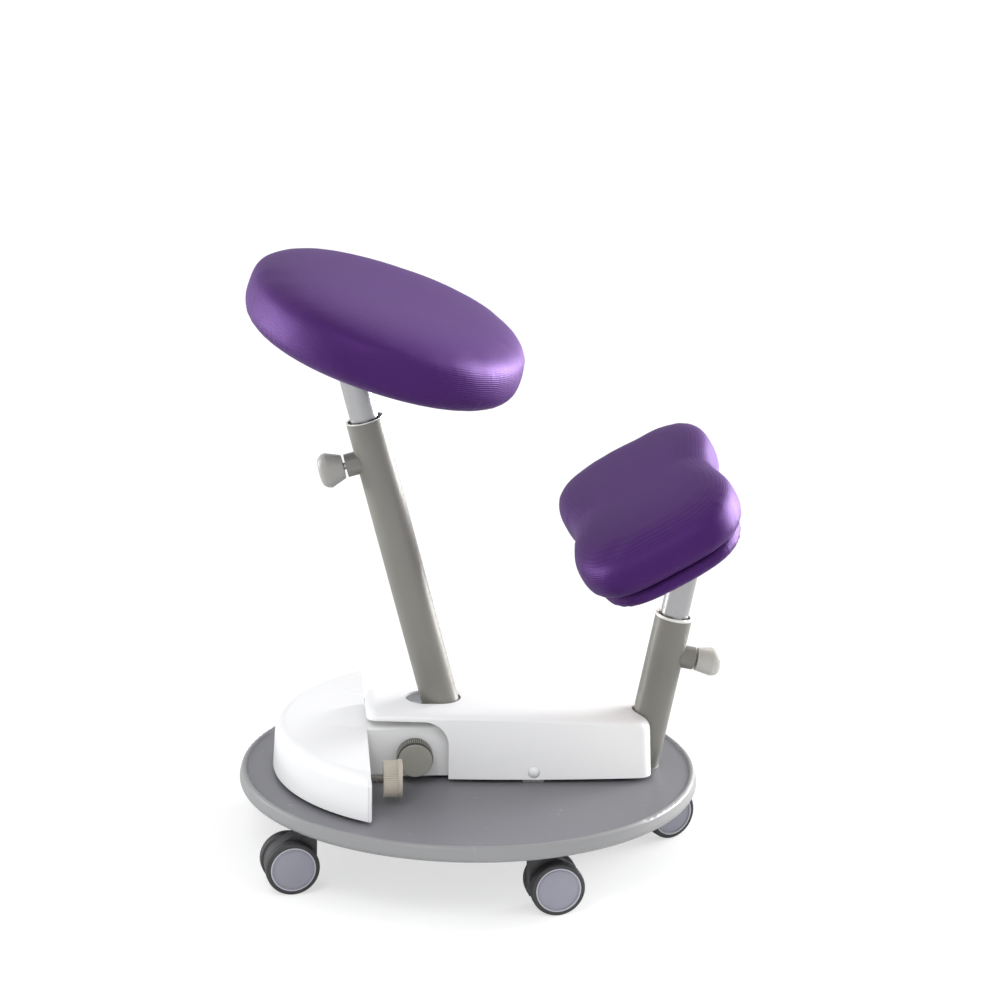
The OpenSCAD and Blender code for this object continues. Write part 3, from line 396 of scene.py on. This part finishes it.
outline = [(0, cover_low), (shell_r, cover_low)]
outline += [tuple(p) for p in bend(Vector((220, 133)), Vector((218, 143)), Vector((207, 146)), 12)]
outline += [(165, 148.6), (shell_face, 151), (60, 152.3), (0, 153)]
shell_data = bpy.data.meshes.new("rear_shell")
shell_data.from_pydata([(disc_x - r * MM, 0, z * MM) for r, z in outline],
                       [(i, i + 1) for i in range(len(outline) - 1)], [])
rear_shell = new_piece("rear_shell", shell_data)
pick(rear_shell, "EDGE", lambda m, n: True)
bpy.ops.mesh.spin(steps=192, angle=2 * math.pi, center=(disc_x, 0, 0), axis=(0, 0, 1))
bpy.ops.mesh.select_all(action="SELECT")
bpy.ops.mesh.remove_doubles(threshold=1e-5)
bpy.ops.mesh.select_all(action="SELECT")
bpy.ops.mesh.bisect(plane_co=(disc_x - shell_face * MM, 0, 0), plane_no=(1, 0, 0),
                    use_fill=True, clear_outer=True)
bpy.ops.mesh.select_all(action="SELECT")
bpy.ops.mesh.normals_make_consistent(inside=False)
bpy.ops.object.mode_set(mode="OBJECT")
neck_line = [(-187.5, 0.7, 143), (-170, 0.79, 147.8), (-152.5, 0.86, 151.5), (-135, 0.945, 154),
             (-shell_face, 1, 155.5), (-85, 1, 156.6), (-50, 1, 157.7), (-neck_front, 1, 158.5)]
neck = skin("neck", [arch(x, neck_half * share, neck_half * share - neck_draft,
                          top - neck_shoulder, top) for x, share, top in neck_line])
cut(rear_shell, neck, "UNION")
shell(rear_shell, lambda m, n: n.z < -0.95 or (n.x > 0.95 and m.x > disc_x - 0.05))
cut(rear_shell, block("roof_cut", at=(disc_x - 0.022, 0, 0.157), size=(0.128, 0.052, 0.032)))
cut(rear_shell, pin("pivot_cut", at=(tilt_x, -0.045, tilt_z), turn=ACROSS,
                    radius=0.0098, depth=0.06, vertices=64))
cut(rear_shell, pin("screw_cut", at=(disc_x - shell_face * MM, tension_y, tension_z), turn=ALONG,
                    radius=0.0053, depth=0.03, vertices=48))
smooth(rear_shell)

white_shell = Finish("white_shell")
spot = white_shell.place()
peel = white_shell.speckle(spot, scale=420, detail=2)
tone = white_shell.speckle(spot, scale=6, detail=2)
white_shell.feed("Base Color", white_shell.mix(tone, (0.79, 0.79, 0.79, 1), (0.84, 0.84, 0.84, 1)))
white_shell.feed("Roughness", 0.24 + 0.12 * tone)
white_shell.bump(peel, 0.12, 0.0003)
white_shell.paint(rear_shell)
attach(rear_shell, "base")
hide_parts("rear_cover")


# The main cover: a long white moulding with a belly, a lower front and a crowned roof, over the
# seat rocker. Its rear end is a lid that hangs over the neck, so its sides stop short there with a
# rounded corner. A slot lets the seat column lean, and a notch takes the foot of the knee column.
lid_back, lid_front = -118, 204
back_round, front_round = 12, 14
slot_x, slot_r, slot_reach = disc_x - 0.0415, 0.023, 0.0085
knee_lean = math.radians(10.8)
knee_way = Vector((math.sin(knee_lean), 0, math.cos(knee_lean)))
knee_foot = Vector((disc_x + 0.1966, 0, 0.092))


def swell(x, most, drop, middle, reach):
    """A curve that is highest at its middle, and lower by drop at its reach from there."""
    return most - drop * ((x - middle) / reach) ** 2


def cover_ring(x, inset):
    low_half = swell(x, most=60.5, drop=12.5, middle=95, reach=213)
    high_half = min(low_half - 2, swell(x, most=53.8, drop=15.8, middle=-10, reach=214))
    top = swell(x, most=173, drop=18, middle=-50, reach=254)
    return arch(x, low_half - inset, high_half - inset, top - 10 - inset / 2, top - inset / 2)


def cover_end(edge, away, turns):
    """Rings that round one end of the cover off, from or towards its narrow edge."""
    return [cover_ring(edge + away * (1 - math.cos(t)), abs(away) * (1 - math.sin(t))) for t in turns]


quarter = [math.radians(90 * i / 9) for i in range(10)]
straight = lid_front - front_round - lid_back - back_round
main_shell = skin("main_shell", cover_end(lid_back, back_round, quarter)
                  + [cover_ring(lid_back + back_round + straight * i / 36, 0) for i in range(1, 36)]
                  + cover_end(lid_front, -front_round, quarter[::-1]))
shell(main_shell, lambda m, n: n.z < -0.95)
side_cut = block("side_cut", at=(disc_x - 0.131, 0, 0.0805), size=(0.21, 0.242, 0.161))
pick(side_cut, "EDGE", lambda m, n: m.x > disc_x - 0.03 and m.z > 0.16)
bpy.ops.mesh.bevel(offset=0.028, segments=24, affect="EDGES")
bpy.ops.object.mode_set(mode="OBJECT")
cut(main_shell, side_cut)
slot_cut = pin("slot_cut", at=(slot_x, 0, 0.19), turn=(0, 0, 0),
               radius=slot_r, depth=0.06, vertices=96)
for way in (-1, 1):
    pick(slot_cut, "VERT", lambda m, n: (m.x - slot_x) * way > 1e-4)
    bpy.ops.transform.translate(value=(slot_reach * way, 0, 0))
    bpy.ops.object.mode_set(mode="OBJECT")
cut(main_shell, slot_cut)
cut(main_shell, pin("knee_cut", at=knee_foot + 0.05 * knee_way, turn=(0, knee_lean, 0),
                    radius=0.023, depth=0.3, vertices=96))
cut(main_shell, pin("dome_cut", at=(disc_x + 0.07, 0, 0.1025), turn=ACROSS,
                    radius=0.00665, depth=0.3, vertices=48))
smooth(main_shell)
white_shell.paint(main_shell, "cover_screws")
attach(main_shell, "base")
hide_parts("main_cover")


# The round knobs: moulded plastic, grey-green on the tilt pin, with a dark ring of painted shade in
# the grooves between the ribs of its rim, and beige on the long tension screw. The screw is bare
# steel with a 1.5 mm thread, with painted shade in its valleys and a painted highlight on its crests.
thread_pitch = 0.0015


def moulded(name, low, high, roughness=0.38, grain=0.1):
    """Moulded plastic: slow shifts of tone and a fine grain."""
    plastic = Finish(name)
    spot = plastic.place()
    haze = plastic.speckle(spot, scale=45, detail=3)
    fine = plastic.speckle(spot, scale=900, detail=2)
    plastic.tone = plastic.mix(0.7 * haze + 0.3 * fine, low, high)
    plastic.feed("Base Color", plastic.tone)
    plastic.feed("Roughness", roughness + 0.14 * haze)
    plastic.bump(fine, grain, 0.0003)
    return plastic


tilt_knob = moulded("knob_green_grey", (0.25, 0.25, 0.215, 1), (0.32, 0.316, 0.278, 1))
x, _, z = tilt_knob.place().split()
reach = radius(x - tilt_x, z - tilt_z)
# A ring round the rim is painted near black, as the shade in the grooves between the ribs.
groove = tilt_knob.rise(reach, 0.0190, 0.0193) - tilt_knob.rise(reach, 0.0198, 0.0204)
shaded_grooves = tilt_knob.mix(0.9 * groove, tilt_knob.tone, (0.02, 0.02, 0.018, 1))
tilt_knob.feed("Base Color", shaded_grooves)
tilt_knob.paint("side_knob")
moulded("knob_beige", (0.40, 0.355, 0.30, 1), (0.50, 0.455, 0.39, 1)).paint("tension_knob")

thread = Finish("thread", Metallic=1.0)
along, left, above = thread.place_from((0, tension_y, tension_z)).split()
angle = above.math("ARCTAN2", left)
ridge_and_shade = (along * (2 * math.pi / thread_pitch) + angle).math("SINE")
# The thread is painted darker in its valleys as their shade, and lighter on its crests as their
# highlight.
thread.feed("Base Color", thread.mix(0.5 + 0.5 * ridge_and_shade, (0.20, 0.19, 0.18, 1), (0.46, 0.44, 0.42, 1)))
thread.feed("Roughness", 0.34 + 0.08 * ridge_and_shade)
thread.bump(ridge_and_shade, 0.7, 0.0004)
thread.paint("tension_screw")


# The two outer tubes: steel, powder coated a glossy taupe grey, with a painted highlight on the cut
# rim.
# Each has a welded boss near its top that takes the clamp knob.
seat_lean = math.radians(15)
seat_foot = Vector((disc_x - 0.0127, 0, 0.092))


def coated_tube(name, foot, lean, length):
    tube = Finish(name)
    own = tube.place_from(foot, (0, lean, 0))
    _, _, up_tube = own.split()
    # The top millimetre of each tube is painted near white, as the highlight on its cut rim.
    rim_highlight = tube.rise(up_tube, length - 0.0012, length - 0.0006)
    wave = tube.speckle(own, scale=12, detail=2)
    peel = tube.speckle(own, scale=480, detail=2)
    coat = tube.mix(wave, (0.185, 0.179, 0.162, 1), (0.238, 0.232, 0.210, 1))
    tube.feed("Base Color", tube.mix(rim_highlight, coat, (0.80, 0.80, 0.78, 1)))
    tube.feed("Roughness", 0.34 + 0.14 * wave)
    tube.feed("Metallic", 0.25 + 0.1 * wave)
    tube.bump(peel, 0.1, 0.0002)
    return tube


coated_tube("seat_taupe", seat_foot, -seat_lean, length=0.4205).paint("seat_column")
coated_tube("knee_taupe", knee_foot, knee_lean, length=0.1786).paint("knee_column")


# The inner posts: thin drawn tube with a bright satin plating.
# They slide in dark plastic guide rings at the tubes' tops and on their own feet.
plated = Finish("plated", Metallic=0.85)
spot = plated.place()
draw = plated.speckle(spot, scale=220, detail=3)
slow = plated.speckle(spot, scale=14, detail=2)
plated.feed("Base Color", plated.mix(0.5 * draw + 0.5 * slow,
                                     (0.36, 0.36, 0.37, 1), (0.45, 0.45, 0.455, 1)))
plated.feed("Roughness", 0.24 + 0.14 * draw)
plated.bump(draw, 0.08, 0.0002)
plated.paint("seat_post", "knee_post")
dark = moulded("dark_moulding", (0.020, 0.020, 0.022, 1), (0.045, 0.045, 0.048, 1),
               roughness=0.42, grain=0.2)
dark.paint("seat_bush", "knee_bush", "seat_glide", "knee_glide")


# The wing knobs: moulded plastic on steel studs, which clamp the posts at their heights.
# The one in front is pale grey, and the one behind the seat column is the same knob painted darker,
# as the shade under the seat.
pale = moulded("knob_pale", (0.46, 0.455, 0.43, 1), (0.55, 0.545, 0.52, 1), roughness=0.3)
pale.paint("knee_knob")
# The seat knob is painted darker than the knee knob, as painted shade under the seat.
shaded_knob = moulded("knob_pale_shaded", (0.29, 0.285, 0.268, 1), (0.36, 0.355, 0.335, 1), roughness=0.3)
shaded_knob.paint("seat_knob")
zinc.paint("seat_stud", "knee_stud")


# The casters: twin wheels in dark grey plastic under a rounded hood, each with a violet-grey hub cap.
# A fine painted highlight runs round the edge of every cap, where the moulding has a bevel.
highlight_start, highlight_end = 0.0236, 0.0240
soot = moulded("hood_dark", (0.030, 0.030, 0.032, 1), (0.060, 0.060, 0.062, 1),
               roughness=0.36, grain=0.15)
tyre = moulded("tyre_dark", (0.024, 0.024, 0.026, 1), (0.046, 0.046, 0.048, 1),
               roughness=0.5, grain=0.25)
for letter, yaw in zip("abcde", (190, 9, 28, 140, 184)):
    soot.paint("hood_" + letter)
    tyre.paint("wheels_" + letter)
    zinc.paint("axle_" + letter)
    low, high = (Vector(c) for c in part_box("axle_" + letter))
    cap = Finish("cap_" + letter)
    hub = cap.place_from((low + high) / 2, (0, 0, math.radians(yaw)))
    across, _, above = hub.split()
    # The edge ring of the cap is painted pale, as the highlight on its bevel.
    bevel_highlight = cap.rise(radius(across, above), highlight_start, highlight_end)
    haze = cap.speckle(hub, scale=30, detail=3)
    face = cap.mix(haze, (0.245, 0.243, 0.295, 1), (0.300, 0.298, 0.350, 1))
    cap.feed("Base Color", cap.mix(bevel_highlight, face, (0.48, 0.48, 0.52, 1)))
    cap.feed("Roughness", 0.4 + 0.1 * haze)
    cap.bump(haze, 0.05, 0.0003)
    cap.paint("caps_" + letter)
zinc.paint("caster_sockets", "caster_stems")


# The mechanism under the covers: a rocker on a pivot bolt, a clamp sleeve, the tension nut, its
# bracket and two rubber stops. All of it is plain pressed or turned steel but the stops.
zinc.paint("seat_rocker", "pivot_bolt", "clamp_sleeve", "tension_bracket", "tension_nut")
rubber = moulded("stop_rubber", (0.012, 0.012, 0.012, 1), (0.030, 0.030, 0.030, 1),
                 roughness=0.75, grain=0.3)
rubber.paint("tilt_stops")


# The pans and brackets: plywood pans that carry the foam, with their grain along the stool, on grey
# pressed brackets with bright screws.
ply = Finish("plywood")
veneer = ply.node("ShaderNodeMapping", None, {"Vector": ply.place(), "Scale": (1, 9, 1)})
grain = ply.speckle(veneer, scale=22, detail=6, distortion=0.6)
ply.feed("Base Color", ply.mix(grain, (0.30, 0.185, 0.09, 1), (0.52, 0.37, 0.215, 1)))
ply.feed("Roughness", 0.6 + 0.2 * grain)
ply.bump(grain, 0.25, 0.0005)
ply.paint("seat_pan", "knee_pan")
bracket = moulded("bracket_grey", (0.26, 0.26, 0.265, 1), (0.33, 0.33, 0.335, 1), roughness=0.34)
bracket.paint("seat_bracket", "knee_bracket")
zinc.paint("seat_screws", "knee_screws")


# The seat cushion: moulded foam on a plywood pan, under a violet stretch fabric pulled tight from
# below. The fabric has fine ribs that run round the sides, and small gathers where it turns under.
seat_tilt = math.radians(17)
seat_way = Vector((-math.sin(seat_lean), 0, math.cos(seat_lean)))
puff = 0.0014
fold_pitch = 30
rib_pitch, rib_fade = 0.0021, 0.012
twill_pitch = (0.0019, 0.0023)


class Pad:
    """The place of a soft piece: its middle underneath, and its tilt about the side-to-side line."""

    def __init__(self, at, tilt, along):
        self.tilt = tilt
        self.ahead = Vector((math.cos(tilt), 0, -math.sin(tilt)))
        self.side = Vector((0, 1, 0))
        self.out = Vector((math.sin(tilt), 0, math.cos(tilt)))
        self.at = at + along * self.ahead

    def world(self, u, v, w):
        return self.at + u * self.ahead + v * self.side + w * self.out

    def own(self, point):
        away = point - self.at
        return Vector((away.dot(self.ahead), away.dot(self.side), away.dot(self.out)))


def power(value, exponent):
    return math.copysign(abs(value) ** exponent, value)


def lobe(half_x, half_y, roundness, waist, turn):
    """Point of a rounded outline, drawn in at the waist."""
    x = half_x * power(math.cos(turn), 2 / roundness)
    y = half_y * power(math.sin(turn), 2 / roundness)
    return x * (1 - waist * math.exp(-(y / (0.36 * half_y)) ** 2)), y


def foam(name, pad, half, low, middle, roundness, waist, under, over):
    """Block of foam: a stack of outlines, cut off at the lean low, full in the flanks."""
    half_x, half_y, half_w = half
    rings = []
    for slope in [low] + [i / 12 * 89 for i in range(-11, 13) if i / 12 * 89 > low]:
        lean = math.radians(slope)
        share = math.cos(lean) ** (over if slope > 0 else under)
        rise = middle + half_w * power(math.sin(lean), 0.5)
        ring = []
        for k in range(120):
            u, v = lobe(half_x, half_y, roundness, waist, 2 * math.pi * k / 120)
            point = pad.world(u * share, v * share, rise)
            ring.append(((point.x - disc_x) / MM, point.y / MM, point.z / MM))
        rings.append(ring)
    return skin(name, rings)


def upholster(piece, pad, held, voxel):
    """Blows the fabric up over the foam as cloth, held where it is stapled underneath."""
    work(piece, "REMESH", mode="VOXEL", voxel_size=voxel)
    staples = piece.vertex_groups.new(name="staples")
    staples.add([v.index for v in piece.data.vertices if held(pad.own(v.co))], 1.0, "REPLACE")
    still = [v.co.copy() for v in piece.data.vertices]
    take(piece)
    cloth = piece.modifiers.new("cloth", "CLOTH")
    cloth.settings.use_pressure = True
    cloth.settings.uniform_pressure_force = 4
    cloth.settings.vertex_group_mass = "staples"
    cloth.settings.effector_weights.gravity = 0
    cloth.settings.quality = 6
    for frame_no in range(1, 21):
        scene.frame_set(frame_no)
    puffed = piece.evaluated_get(bpy.context.evaluated_depsgraph_get()).data
    moved = [v.co.copy() for v in puffed.vertices]
    piece.modifiers.remove(cloth)
    scene.frame_set(1)
    for vertex, start, end in zip(piece.data.vertices, still, moved):
        way = end - start
        vertex.co = start + way * min(1, puff / max(way.length, 1e-6))
    work(piece, "CORRECTIVE_SMOOTH", factor=0.5, iterations=8, smooth_type="SIMPLE",
         use_only_smooth=True)
    work(piece, "SUBSURF", levels=1, render_levels=1)
    take(piece)
    bpy.ops.object.shade_smooth()


def gather(piece, pad, top, deep):
    """Small folds where the fabric turns under, deepest at the lower edge, none on the bottom."""
    spots = [pad.own(v.co) for v in piece.data.vertices]
    normals = [v.normal.copy() for v in piece.data.vertices]
    places = []
    for vertex, spot, normal in zip(piece.data.vertices, spots, normals):
        fade = max(0.0, min(1.0, (top - spot.z) / top)) ** 1.5
        turn = math.atan2(spot.y, spot.x)
        fold = noise.noise(Vector((turn * fold_pitch, spot.z * 9, 3.1)))
        patch = 0.35 + 0.65 * max(0.0, noise.noise(Vector((turn * 2.3, 0.4, 7.7))) * 2)
        if normal.dot(pad.out) < -0.9:
            fade = 0
        places.extend(vertex.co + normal * (fold * fade * patch * deep))
    piece.data.vertices.foreach_set("co", places)
    piece.data.update()


def violet(name, pad, rib_top):
    """Satin stretch fabric: ribs that climb the flanks, a fine twill, and slow changes of depth."""
    cloth = Finish(name, Sheen_Weight=0.02, Sheen_Roughness=0.45, Sheen_Tint=(0.82, 0.7, 0.95, 1),
                   Metallic=0.35, Specular_IOR_Level=0.25, Specular_Tint=(0.62, 0.46, 0.76, 1))
    own = cloth.place_from(pad.at, (0, pad.tilt, 0))
    u, v, w = own.split()
    rib = (w * (2 * math.pi / rib_pitch)).math("SINE")
    twill = (((u + v) * (2 * math.pi / twill_pitch[0])).math("SINE")
             * ((u - v) * (2 * math.pi / twill_pitch[1])).math("SINE"))
    flank = ((rib_top - w) * (1 / rib_fade)).math("MINIMUM", 1.0).math("MAXIMUM", 0.0)
    fleck = cloth.speckle(own, scale=900, detail=2)
    depth = cloth.speckle(own, scale=11, detail=3)
    tone = 0.45 * depth + 0.25 * fleck + 0.12 * rib * flank + 0.12
    cloth.feed("Base Color", cloth.mix(tone, (0.037, 0.008, 0.082, 1), (0.072, 0.021, 0.138, 1)))
    cloth.feed("Roughness", 0.46 + 0.10 * depth)
    cloth.bump(0.6 * rib * flank + 0.25 * twill + 0.3 * fleck, 0.35, 0.0004)
    return cloth


seat_pad = Pad(seat_foot + 0.5032 * seat_way, seat_tilt, along=0.0348)
seat_soft = foam("seat_soft", seat_pad, half=(0.158, 0.220, 0.0385), low=-66, middle=0.0354,
                 roundness=2.15, waist=0, under=0.4, over=0.5)
upholster(seat_soft, seat_pad, voxel=0.005,
          held=lambda p: p.z < 0.008 and p.x ** 2 / 0.118 ** 2 + p.y ** 2 / 0.165 ** 2 < 1)
gather(seat_soft, seat_pad, top=0.030, deep=0.0014)
violet("seat_violet", seat_pad, rib_top=0.06156).paint(seat_soft)
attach(seat_soft, "seat_top")
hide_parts("seat_cushion")


# The knee pad: two layers of foam under the same fabric, drawn in at the waist for the two knees.
# The lower layer is a little smaller, and a tight groove parts the two.
knee_pad = Pad(knee_foot + 0.2891 * knee_way, math.radians(-29.5), along=-0.0383)
knee_soft = foam("knee_soft", knee_pad, half=(0.1025, 0.203, 0.0295), low=-66, middle=0.0458,
                 roundness=3.6, waist=0.15, under=0.28, over=0.5)
upholster(knee_soft, knee_pad, voxel=0.005, held=lambda p: p.z < 0.026)
violet("knee_violet", knee_pad, rib_top=0.081).paint(knee_soft)
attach(knee_soft, "knee_top")
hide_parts("knee_cushion")
band_soft = foam("band_soft", knee_pad, half=(0.0915, 0.190, 0.014), low=-60, middle=0.0135,
                 roundness=3.4, waist=0.155, under=0.4, over=0.25)
upholster(band_soft, knee_pad, voxel=0.004,
          held=lambda p: p.z < 0.006 and abs(p.y) < 0.17 and abs(p.x) < 0.07)
gather(band_soft, knee_pad, top=0.026, deep=0.0016)
violet("band_violet", knee_pad, rib_top=0.081).paint(band_soft)
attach(band_soft, "knee_top")
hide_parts("knee_band")
